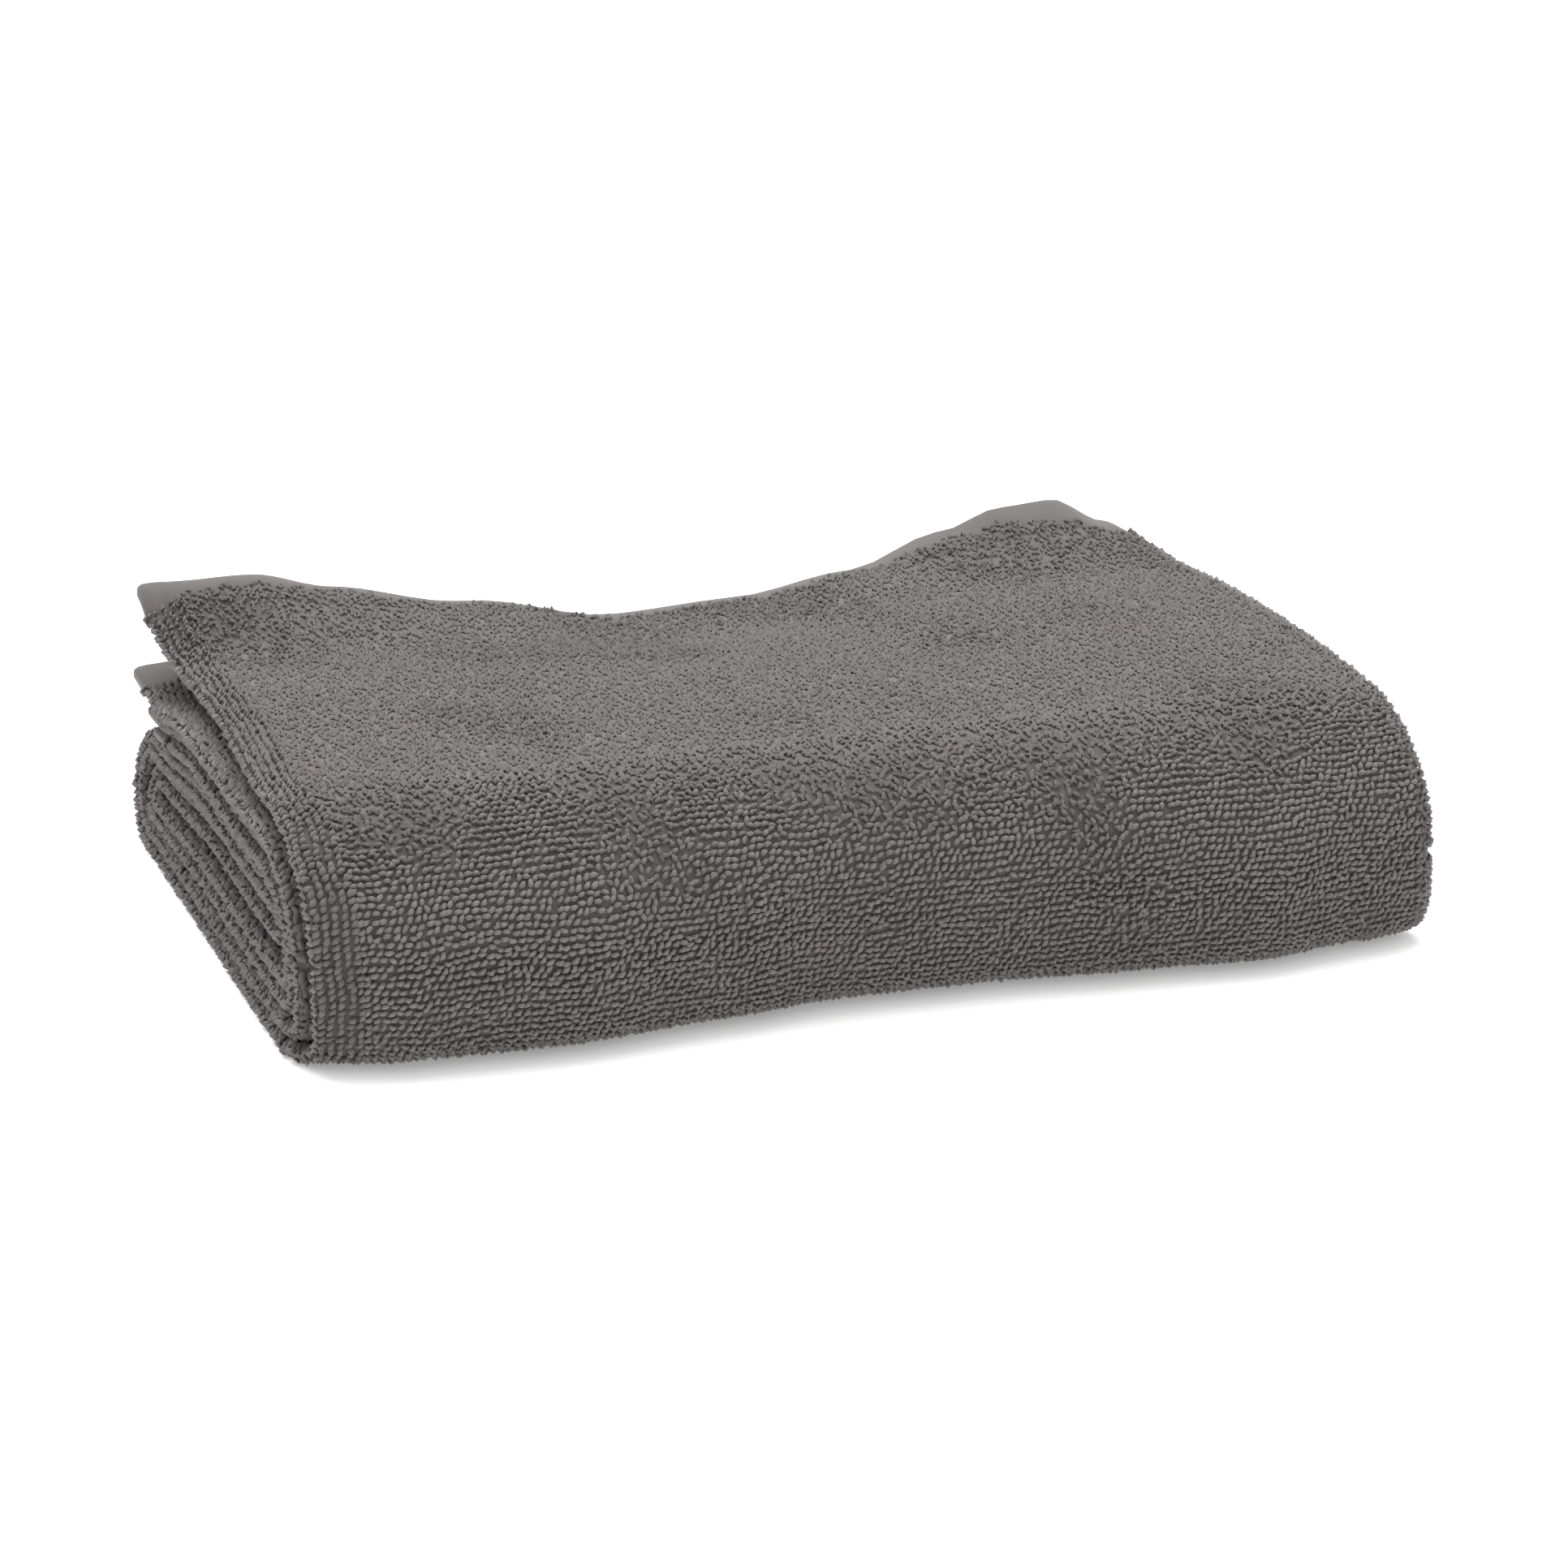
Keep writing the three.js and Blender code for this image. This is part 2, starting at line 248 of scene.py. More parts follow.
def side_line(side, fineness):
    """One of the doubled cloth's two sides, hem to hem, as arrays with a value for each station."""
    outward, inward = side, 3 - side
    parts = [ply_line(outward, stretch, shares_of(stretch, fineness)) for stretch in STRETCHES]
    share = np.arange(TUCK_STEPS * fineness) / (TUCK_STEPS * fineness)
    z_start, z_end = PLIES[outward]["middle"], PLIES[inward]["middle"]
    y, z = half_turn(TUCKED_END, TUCKED_END - (z_start - z_end) / 2, z_start, z_end, share)
    left = lerp(SELVEDGES[outward]["middle"], SELVEDGES[inward]["middle"], smooth(share))
    parts.append((y, z, left, np.zeros_like(share), np.zeros_like(share)))
    for stretch in reversed(STRETCHES):
        share = np.append(shares_of(stretch, fineness), 1)[:0:-1]
        parts.append(ply_line(inward, stretch, share))
    parts.append(ply_line(inward, "top", np.zeros(1)))
    y, z, left, drawn, curl = (np.concatenate(values) for values in zip(*parts))
    along_y, along_z = np.gradient(y), np.gradient(z)
    size = np.hypot(along_y, along_z)
    length = np.concatenate([[0], np.cumsum(np.hypot(np.diff(y), np.diff(z)))])
    from_hem = np.minimum(length, length[-1] - length)
    looped = smooth((from_hem - HEM_WIDTH) / HEM_STEP_WIDTH)
    return {
        "y": y, "z": z, "left": left + hem_corner(from_hem) + RIM_INSET * looped, "drawn": drawn,
        "curl": curl, "out_y": along_z / size, "out_z": -along_y / size, "length": length,
        "from_hem": from_hem,
    }


def column_at(table, column, x):
    """The value of one column of a table at x, on a smooth curve through its rows."""
    rows = np.array(table["x"], float)
    values = np.array(table[column], float)
    i = np.clip(np.searchsorted(rows, x, side="right") - 1, 0, len(rows) - 2)
    return lerp(values[i], values[i + 1], smooth((x - rows[i]) / (rows[i + 1] - rows[i])))


def near_back(y, reach):
    """1 at the hem line, falling to 0 at a distance before it."""
    return smooth((y - HEM_LINE + reach) / reach)


def near_corner(x, y, size):
    """1 at the back left corner, falling to 0 away from it."""
    return smooth(1 - x / size["along_x"]) * near_back(y, size["along_y"])


def settle(x, y, z, curling):
    """Moves points of the level stack to where they lie in the uneven one."""
    height = z / STACK_HEIGHT
    edge = column_at(BACK_EDGE, "rise", x)
    new_x = x.copy()
    new_z = z + np.minimum(edge, 0) * near_back(y, SAG_REACH) * height
    new_z += np.maximum(edge, 0) * near_back(y, RISE_REACH) * height**RISE_POWER
    past_crest = np.clip((y - HEM_LINE) / DROOP_REACH + 1, 0, 1)
    new_z -= column_at(BACK_EDGE, "droop", x) * past_crest**2 * height
    for swell in SWELLS:
        away_x = (x - swell["x"]) / swell["along_x"]
        away_y = (y - swell["y"]) / swell["along_y"]
        near = np.exp(-(away_x**2) - away_y**2) * height
        new_z += swell["rise"] * near
        new_x += swell["right"] * near
    curl = curling * near_corner(x, y, CORNER_CURL)
    new_x -= CORNER_CURL["left"] * curl
    new_z += CORNER_CURL["up"] * curl
    new_z -= CORNER_SETTLE["by"] * height * (1 - curling) * near_corner(x, y, CORNER_SETTLE)
    above_foot = smooth((height - LEVEL_SHARE) / (1 - LEVEL_SHARE))
    near_front = smooth(1 - y / FORWARD_REACH) * (1 - above_foot)
    forward = column_at(FRONT_EDGE, "forward", x) * near_front
    new_y = y - CORNER_CURL["forward"] * curl - forward
    return np.stack([new_x, new_y, new_z], -1)


class Cloth:
    """The doubled cloth's surface. A point is found by how far across it and how far along it
    lies, and how far off the cloth's middle."""

    def __init__(self, fineness):
        self.sides = [side_line(side, fineness) for side in (0, 1)]
        self.count = len(self.sides[0]["y"])
        self.ends = dict(zip(STRETCHES, np.cumsum(list(STRETCHES.values())) * fineness))

    def frame_at(self, k):
        """Both sides' values at stations k, and the round that joins the sides there."""
        near, far = (
            {name: np.interp(k, np.arange(self.count), values) for name, values in side.items()}
            for side in self.sides
        )
        apart_y, apart_z = near["y"] - far["y"], near["z"] - far["z"]
        radius = np.hypot(apart_y, apart_z) / 2
        return {
            "near": near, "far": far, "radius": radius,
            "apart_y": apart_y / (2 * radius), "apart_z": apart_z / (2 * radius),
            "centre_y": (near["y"] + far["y"]) / 2, "centre_z": (near["z"] + far["z"]) / 2,
            "right": FOLDED_LENGTH - radius - PLY_THICKNESS / 2 - near["drawn"],
        }

    def spans(self, k):
        """How long the near side, the round and the far side are, across the cloth."""
        at = self.frame_at(k)
        return at["right"] - at["near"]["left"], pi * at["radius"], at["right"] - at["far"]["left"]

    def points(self, across, k, off):
        """Settled points at distances across from the near selvedge, at stations k, and off the
        cloth's middle."""
        at = self.frame_at(k)
        near, far = at["near"], at["far"]
        near_span = at["right"] - near["left"]
        angle = np.clip((across - near_span) / at["radius"], 0, pi)
        beyond = across - near_span - pi * at["radius"]
        out = at["radius"] + off

        def either(on_near, on_far, on_round):
            return np.where(across <= near_span, on_near, np.where(beyond >= 0, on_far, on_round))

        x = either(near["left"] + across, at["right"] - beyond, at["right"] + np.sin(angle) * out)
        y, z = (
            either(
                near[axis] + off * near["out_" + axis],
                far[axis] - off * far["out_" + axis],
                at["centre_" + axis] + np.cos(angle) * out * at["apart_" + axis],
            )
            for axis in ("y", "z")
        )
        return settle(x, y, z, either(near["curl"], far["curl"], 0))


# Where the solid's left end and back lie in the fold's own frame, set against its box
SOLID_LEFT = -5.0
SOLID_BACK = 231.2
low_corner, high_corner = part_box("towel")
SHIFT = np.array([low_corner.x / MM - SOLID_LEFT, high_corner.y / MM - SOLID_BACK, 0])


def mesh_object(name, points, faces, painted_shades, material_indices=None, normals=None):
    """A smooth-shaded object from points in millimetres of the fold's frame, each with a painted
    shade that multiplies its colour, and faces that all have as many corners."""
    mesh = bpy.data.meshes.new(name)
    places = (points + SHIFT) * MM
    mesh.vertices.add(len(places))
    mesh.vertices.foreach_set("co", places.astype(np.float32).ravel())
    mesh.loops.add(faces.size)
    mesh.loops.foreach_set("vertex_index", faces.astype(np.int32).ravel())
    mesh.polygons.add(len(faces))
    starts = np.arange(0, faces.size, faces.shape[1], dtype=np.int32)
    mesh.polygons.foreach_set("loop_start", starts)
    mesh.polygons.foreach_set("use_smooth", np.ones(len(faces), bool))
    if material_indices is not None:
        mesh.polygons.foreach_set("material_index", material_indices.astype(np.int32))
    mesh.update(calc_edges=True)
    painted_shade = mesh.attributes.new("painted_shade", "FLOAT", "POINT")
    painted_shade.data.foreach_set("value", painted_shades.astype(np.float32))
    mesh.validate()
    if normals is not None:
        mesh.normals_split_custom_set_from_vertices(normals)
    piece = bpy.data.objects.new(name, mesh)
    bpy.context.scene.collection.objects.link(piece)
    return piece


# How far the faces of the ground weave and of the hem stand off the cloth's middle, and the
# lowest ply's face where it meets the surface below it, with the stations over which it changes
GROUND_OFF = GROUND_THICKNESS / 2
HEM_OFF = HEM_THICKNESS / 2
UNDERSIDE_OFF = 2.0
UNDERSIDE_MARGIN = 2

# The ground's painted shade between the loops, lighter on the top and darker on the front fold,
# and the length of cloth over which one gives way to the other
GROUND_SHADES = {"top": 0.85, "front": 0.65}
TOP_TO_FRONT = 30


def hem_share(from_hem):
    """1 on the flat hem and 0 on the weave, by the distance from the hem's edge."""
    return 1 - smooth((from_hem - HEM_STEP_START) / HEM_STEP_WIDTH)


def face_off(from_hem):
    """How far the cloth's face is off its middle, by the distance from the hem's edge."""
    return lerp(GROUND_OFF, HEM_OFF, hem_share(from_hem))


def underneath(cloth):
    """1 where the outermost ply lies flat on the surface below it, and 0 where it shows."""
    k = np.arange(cloth.count)
    begun = smooth((k - cloth.ends["front"]) / UNDERSIDE_MARGIN)
    return begun * smooth((cloth.ends["bottom"] - k) / UNDERSIDE_MARGIN)


def ground_shade(cloth):
    """The painted shade of the cloth at each station: the ground's, or 1 on the hem."""
    near = cloth.sides[0]
    length = near["length"]
    from_top = length - length[cloth.ends["top"]]
    to_bottom = length[cloth.ends["front"]] + TOP_TO_FRONT - length
    in_front = smooth(from_top / TOP_TO_FRONT) * smooth(to_bottom / TOP_TO_FRONT)
    painted_shade = lerp(GROUND_SHADES["top"], GROUND_SHADES["front"], in_front)
    return lerp(painted_shade, 1, hem_share(near["from_hem"]))


def build_cloth():
    """The ground weave under the loops, with its two flat hems, as one closed sheet."""
    cloth = Cloth(GROUND_FINENESS)
    k = np.arange(cloth.count, dtype=float)
    near_span, round_span, far_span = cloth.spans(k)
    total = near_span + round_span + far_span
    near_half, far_half = (face_off(side["from_hem"]) for side in cloth.sides)
    outer_half = lerp(near_half, UNDERSIDE_OFF, underneath(cloth))
    round_half = (near_half + far_half) / 2
    shares = np.linspace(0, 1, ACROSS_STEPS + 1)
    shares = shares - ENDS_CLOSER * np.sin(2 * pi * shares) / (2 * pi)

    def face(sign, first_half):
        """The rows of points of one face, near selvedge to far: across, and off the middle."""
        rows = [(lerp(SELVEDGE_ROUNDING, near_span, share), sign * first_half) for share in shares]
        for step in range(1, ROUND_STEPS):
            rows.append((near_span + step / ROUND_STEPS * round_span, sign * round_half))
        for share in shares:
            across = lerp(near_span + round_span, total - SELVEDGE_ROUNDING, share)
            rows.append((across, sign * far_half))
        return rows

    outer, inner = face(1, outer_half), face(-1, near_half)
    far_edge = [(total, far_half / 2), (total, -far_half / 2)]
    near_edge = [(np.zeros_like(k), -near_half / 2), (np.zeros_like(k), near_half / 2)]
    chain = outer + far_edge + inner[::-1] + near_edge
    points = np.stack([cloth.points(across, k, off) for across, off in chain], 1)
    rings, count = points.shape[:2]
    i = np.arange(count)
    after = (i + 1) % count
    start = np.arange(rings - 1)[:, None] * count
    round_face = (start + i, start + count + i, start + count + after, start + after)
    sides = np.stack(np.broadcast_arrays(*round_face), -1)
    # Each end of the sheet, at a hem, is closed between the outer face's points, numbered from 0,
    # and the inner face's, which come after two of the far edge and go back to the last one
    wide = len(outer)
    last = 2 * wide + 1
    j = np.arange(wide - 1)
    between = np.stack([j, last - j, last - j - 1, j + 1], -1)
    at_edges = np.array([[wide - 1, wide + 2, wide + 1, wide], [0, last + 2, last + 1, last]])
    cap = np.concatenate([between, at_edges])
    faces = np.concatenate([sides.reshape(-1, 4), cap[:, ::-1], cap + (rings - 1) * count])
    # Faces are the hem's where it makes up more than half of the two sides
    near_hem, far_hem = (hem_share(side["from_hem"]) for side in cloth.sides)
    is_hem = (near_hem + far_hem)[:-1] > 1
    in_hem = np.concatenate([np.repeat(is_hem, count), np.ones(2 * len(cap), bool)])
    painted_shades = np.repeat(ground_shade(cloth), count)
    return mesh_object("terry_cloth", points.reshape(-1, 3), faces, painted_shades, in_hem)


# The pile's loops, by how they lie: loose and any way on the top, in slanted rows on the front,
# and in ridged columns along a selvedge. Spread is in degrees from the way they lie and scatter
# in millimetres from their place, reach is half the loop's length, thick its yarn's radius and
# tall its height, lean how far its top is off its foot, foot and tip its painted shade down there
# and at its top, and fuzz how much its own shading gives way to that of the surface it stands on.
# The painted shade darkens the feet in rows and columns and lightens those of the loose loops, and
# painted shade dims the top's loose loops against the painted light on the front's tips.
LOOPS = {
    "loose": {
        "spread": 0, "scatter": 0.5, "reach": 0.86, "thick": 0.62, "tall": 0.92, "lean": 0.5,
        "foot": 0.8, "tip": 0.71, "fuzz": 0.46,
    },
    "rows": {
        "spread": 20, "scatter": 0.2, "reach": 0.78, "thick": 0.7, "tall": 1.2, "lean": 0.2,
        "foot": 0.6, "tip": 1.22, "fuzz": 0.12,
    },
    "columns": {
        "spread": 18, "scatter": 0.16, "reach": 0.8, "thick": 0.82, "tall": 1.25, "lean": 0.2,
        "foot": 0.4, "tip": 0.98, "fuzz": 0.12,
    },
}

# How loops are turned from straight across the cloth: in degrees for those in rows and columns,
# and in radians for the loose ones
ROW_TURN = 27
COLUMN_TURN = 52
LOOSE_TURNS = (0.2 * pi, 0.85 * pi)

# The furthest that a top leans off its foot, and how unlike one another the loops are
MOST_LEAN = 1.1
THICK_SPREAD = 0.07
TALL_SPREAD = 0.13

# A loop's three middle sections: along its length, up, how much of its lean it has, and which way
# its yarn bulges there, along and up. Its two ends are points sunk in the ground weave.
SECTIONS = [
    (-1.0, 0.42, 0.5, -0.94, 0.34),
    (0.0, 1.0, 1.0, 0.0, 1.0),
    (1.0, 0.42, 0.5, 0.94, 0.34),
]
END_OUT = 0.7
END_UP = -0.45

# The most triangles of one mesh, and the lowest that a loop may reach
PIECE_LIMIT = 190000
FLOOR_CLEARANCE = 0.05

# The steps over which the surface's directions are measured: across it, to either side of it, and
# in stations along a selvedge. A selvedge's own loops stand a little in from it, and the way they
# stand is measured from further in.
ACROSS_PROBE = 0.4
OFF_PROBE = 0.5
STATION_PROBE = 0.5
RIM_FOOT = 0.3
RIM_PROBE = 1.5

# The pitch of the loops across and along the cloth, by region
FRONT_PITCH = (2.35, 2.05)
TOP_PITCH = (2.15, 1.85)
BACK_PITCH = (2.8, 2.8)
EDGE_PITCH = (2.35, 2.3)
ROUND_PITCH = (2.3, 2.3)

# How far past its fold the front's pile goes at the foot, and the back's on to the middle panel
FOOT_REACH = 12
MIDDLE_REACH = 20

# A field's grid: its first column, the shift of every other row as a share of the pitch, how near
# its loops come to the selvedge, and how far past its ends
FIRST_COLUMN = 0.9
ROW_SHIFTS = (-0.05, 0.25)
NEAREST_SELVEDGE = 0.7
FIELD_MARGIN = 1

# How far from the hem's edge the pile begins, along the towel: it falls over the hem but for the
# two ends, unevenly, and its first loops there have a painted shadow on their feet, a dark line
# along the border
PILE_BORDER = {
    "x": [0, 4, 9.5, 14, 23, 37, 49, 58, 66, 95, 160, 230, 284, 300, 316, 332, 350],
    "start": [
        22, 22, 16.5, 14, 13, 12, 12.5, 13, 14, 16.5, 19, 15.5, 12, 12.5, 17.5, 21, 22,
    ],
}
BORDER_SPREAD = 0.5
BORDER_SHADE = 0.4
BORDER_SHADE_WIDTH = 4

# The ridged columns along the selvedge: how many there are, over how many more they fade, and how
# much wider they are spaced than the pitch
RIDGED_COLUMNS = 4
RIDGES_FADE = 2
RIDGE_SPACING = 1.18

# Rough patches, where shaggier loops stand with painted shade on their feet: how likely they are
# away from the hem and near it, how far the hem's share of them reaches and fades, and their
# painted shade
ROUGH_LEVELS = (-0.3, 0.45)
ROUGH_REACH = 20
ROUGH_FADE = 90
ROUGH_SHADE = 0.55

# Where the top's loose loops give way to the front's rows: how far before the top's end that
# begins, over what length, and how much later it does so along the towel
ROWS_START = 2
ROWS_WIDTH = 42
ROWS_LATER = {"x": [60, 120, 250, 330], "later": [0, 12, 12, -4]}

# How orderly the rows of the front, the back and the right end are between their patches, and
# how far before the front's end its patches begin, over what length
FRONT_ORDER = 1.25
BACK_ORDER = 0.8
ROUND_ORDER = 0.9
PATCHES_START = 50
PATCHES_WIDTH = 30

# The loops of the plies' edges: where they begin past the hem, the first column of them, how many
# columns stand where a face is pressed to the next and where it shows, their scatter, how orderly
# they are and what else sets them apart
PILE_START = HEM_WIDTH + 0.5
FIRST_LEDGE = 1.2
EDGE_COLUMNS = 2
LEDGE_COLUMNS = 5
EDGE_SCATTER = 0.25
EDGE_ORDER = 0.4
LEDGE_COLUMNED = 0.2
LEDGE_SHAGGY = 1.1
# The edges' loops carry painted shade over the whole, for the shade among the plies at the left
# end, and painted light on their feet
EDGE_LOOPS = {"yarn_sides": 4, "size": 1.3, "shaded": 1.4, "fuzzy": 0.46, "overall_painted_shade": 0.73}

# The loops of the folded end: where they begin, the arc that they cover beside the round itself,
# the fewest in a row, the shifts of every other row, the places beside the round, their scatter
# across and along, the share of their order that they keep, and their size
ROUND_START = 15
ROUND_EXTRA = 2 * pi
FEWEST_ROUND = 3
ROUND_SHIFTS = (0.3, 0.7)
BEFORE_ROUND = 0.5
AFTER_ROUND = 1
ROUND_SCATTER = (0.15, 0.2)
ROUND_ORDERED = 0.5
ROUND_SIZE = 1.05

# The pile's slow changes over the cloth: by how much, over what length in millimetres, and the
# seed of each
WAVES = {
    "rows": (9, 60, 1),
    "front": (0.7, 30, 2),
    "back": (0.5, 30, 3),
    "round": (0.5, 25, 4),
    "place": (0.7, 50, 5),
    "fine_place": (0.25, 14, 6),
    "turn": (13, 22, 7),
    "rough": (1, 75, 8),
    "ridge": (0.5, 16, 9),
}
WAVE_COUNT = 7
WAVE_LENGTHS = (0.7, 1.5)

rng = np.random.default_rng(21)


def waves(name, a, b):
    """A smooth random field over two lengths in millimetres, mostly within the size it has."""
    size, length, seed = WAVES[name]
    draw = np.random.default_rng(seed)
    total = np.zeros(np.broadcast(a, b).shape)
    for _ in range(WAVE_COUNT):
        direction, phase = draw.uniform(0, 2 * pi, 2)
        step = 2 * pi / (length * draw.uniform(*WAVE_LENGTHS))
        total += np.sin(step * (a * cos(direction) + b * sin(direction)) + phase)
    return size * (total / np.sqrt(WAVE_COUNT))


def unit(v):
    return v / np.linalg.norm(v, axis=-1, keepdims=True)


def upright(v, stand):
    """The direction of v, turned square to the way that loops stand."""
    v = unit(v)
    return unit(v - stand * (v * stand).sum(-1, keepdims=True))


def by_lie(column, order, columned):
    """A value of the loops, by how orderly they are and how much they lie in columns."""
    in_rows = lerp(LOOPS["loose"][column], LOOPS["rows"][column], order)
    return lerp(in_rows, LOOPS["columns"][column], columned)


def loop_faces(yarn_sides):
    """The triangles of one loop, from one sunk end over its three sections to the other."""
    faces = []
    last = 1 + len(SECTIONS) * yarn_sides
    for j in range(yarn_sides):
        after = (j + 1) % yarn_sides
        faces.append((0, 1 + after, 1 + j))
        for ring in range(len(SECTIONS) - 1):
            a, b = 1 + ring * yarn_sides, 1 + (ring + 1) * yarn_sides
            faces += [(a + j, b + after, b + j), (a + j, a + after, b + after)]
        faces.append((last - yarn_sides + j, last - yarn_sides + after, last))
    return np.array(faces)


class Pile:
    """Loops of pile yarn, made into meshes of many closed, bean-shaped loops."""

    def __init__(self, cloth):
        self.cloth = cloth
        self.meshes = []

    def frames(self, across, k, off):
        """The surface's points, its directions across and along, and the way that loops stand."""

        def place(a, c):
            return self.cloth.points(across + a, k, off + c)

        facing = np.where(off < 0, -1, 1)[:, None]
        stand = unit(place(0, OFF_PROBE) - place(0, -OFF_PROBE)) * facing
        right = upright(place(ACROSS_PROBE, 0) - place(-ACROSS_PROBE, 0), stand)
        return place(0, 0), right, np.cross(stand, right), stand

    def rims(self, on_far, k):
        """The same for loops on the selvedge itself, which stand out from it to the left."""
        inward = np.where(on_far, -1, 1)
        edge = np.where(on_far, sum(self.cloth.spans(k)), 0)

        def place(a, step):
            return self.cloth.points(edge + inward * a, k + step, np.zeros_like(k))

        base = place(RIM_FOOT, 0)
        stand = unit(base - place(RIM_PROBE, 0))
        run = upright(place(0, STATION_PROBE) - place(0, -STATION_PROBE), stand)
        return base, run, np.cross(stand, run), stand

    def add(
        self, name, surface, order, columned, yarn_sides,
        size=1, shaggy=1, turned=0, shaded=1, fuzzy=0, overall_painted_shade=1,
    ):
        """Loops on a surface's frames. Those in order lie in rows or columns, the others any way.
        Shaded multiplies the painted shade of their feet, the last argument paints shade over the
        whole of each loop, and fuzzy is the least fuzz that they have."""
        base, right, along, stand = surface
        n = len(base)

        def blend(column):
            return by_lie(column, order, columned)

        def jitter(spread):
            return rng.normal(1, spread, n)

        loose = rng.uniform(0, 1, n) > np.maximum(order, columned)
        ordered = lerp(ROW_TURN, COLUMN_TURN, columned)
        turn = radians(1) * (ordered + turned + rng.normal(0, blend("spread")))
        turn = np.where(loose, rng.uniform(*LOOSE_TURNS, n), turn)
        reach = (blend("reach") * size * jitter(THICK_SPREAD))[:, None]
        thick = (blend("thick") * size * jitter(THICK_SPREAD))[:, None]
        tall = (blend("tall") * size * jitter(TALL_SPREAD * shaggy))[:, None]
        leans = rng.normal(0, blend("lean") * shaggy, (2, n))
        lean_right, lean_along = np.clip(leans, -MOST_LEAN, MOST_LEAN)
        way = right * np.cos(turn)[:, None] + along * np.sin(turn)[:, None]
        aside = np.cross(stand, way)
        lean = right * lean_right[:, None] + along * lean_along[:, None]
        angles = 2 * pi * np.arange(yarn_sides) / yarn_sides + pi / 2
        sunk = stand * tall * END_UP
        rings = [(base - way * reach * END_OUT + sunk)[:, None]]
        outwards = [-stand[:, None]]
        for out, up, leaning, bulge_way, bulge_up in SECTIONS:
            middle = base + way * reach * out + stand * tall * up + lean * leaning
            bulge = way * bulge_way + stand * bulge_up
            outward = np.stack([aside * cos(a) + bulge * sin(a) for a in angles], 1)
            rings.append(middle[:, None] + thick[:, None] * outward)
            outwards.append(outward)
        rings.append((base + way * reach * END_OUT + sunk)[:, None])
        outwards.append(-stand[:, None])
        fuzz = np.maximum(blend("fuzz"), fuzzy)[:, None, None]
        normals = unit(lerp(np.concatenate(outwards, 1), stand[:, None], fuzz))
        points = np.concatenate(rings, 1)
        lift = ((points - base[:, None]) * stand[:, None]).sum(-1) / (tall + thick)
        foot, tip = (blend("foot") * shaded)[:, None], blend("tip")[:, None]
        # Painted shade from each loop's foot to its top, times the painted shade over the whole
        # loop
        painted_shades = overall_painted_shade * lerp(foot, tip, smooth(lift))
        points[..., 2] = np.maximum(points[..., 2], FLOOR_CLEARANCE)
        self.join(name, points, loop_faces(yarn_sides), painted_shades, normals)

    def join(self, name, points, faces, painted_shades, normals):
        """Joins loops into one mesh, or into as many as their triangles need."""
        parts = -(-len(points) * len(faces) // PIECE_LIMIT)
        for number, rows in enumerate(np.array_split(np.arange(len(points)), parts)):
            starts = points.shape[1] * np.arange(len(rows))[:, None, None]
            self.meshes.append(mesh_object(
                name if parts == 1 else f"{name}_{number + 1}",
                points[rows].reshape(-1, 3),
                (faces + starts).reshape(-1, 3),
                painted_shades[rows].ravel(),
                normals=normals[rows].reshape(-1, 3),
            ))


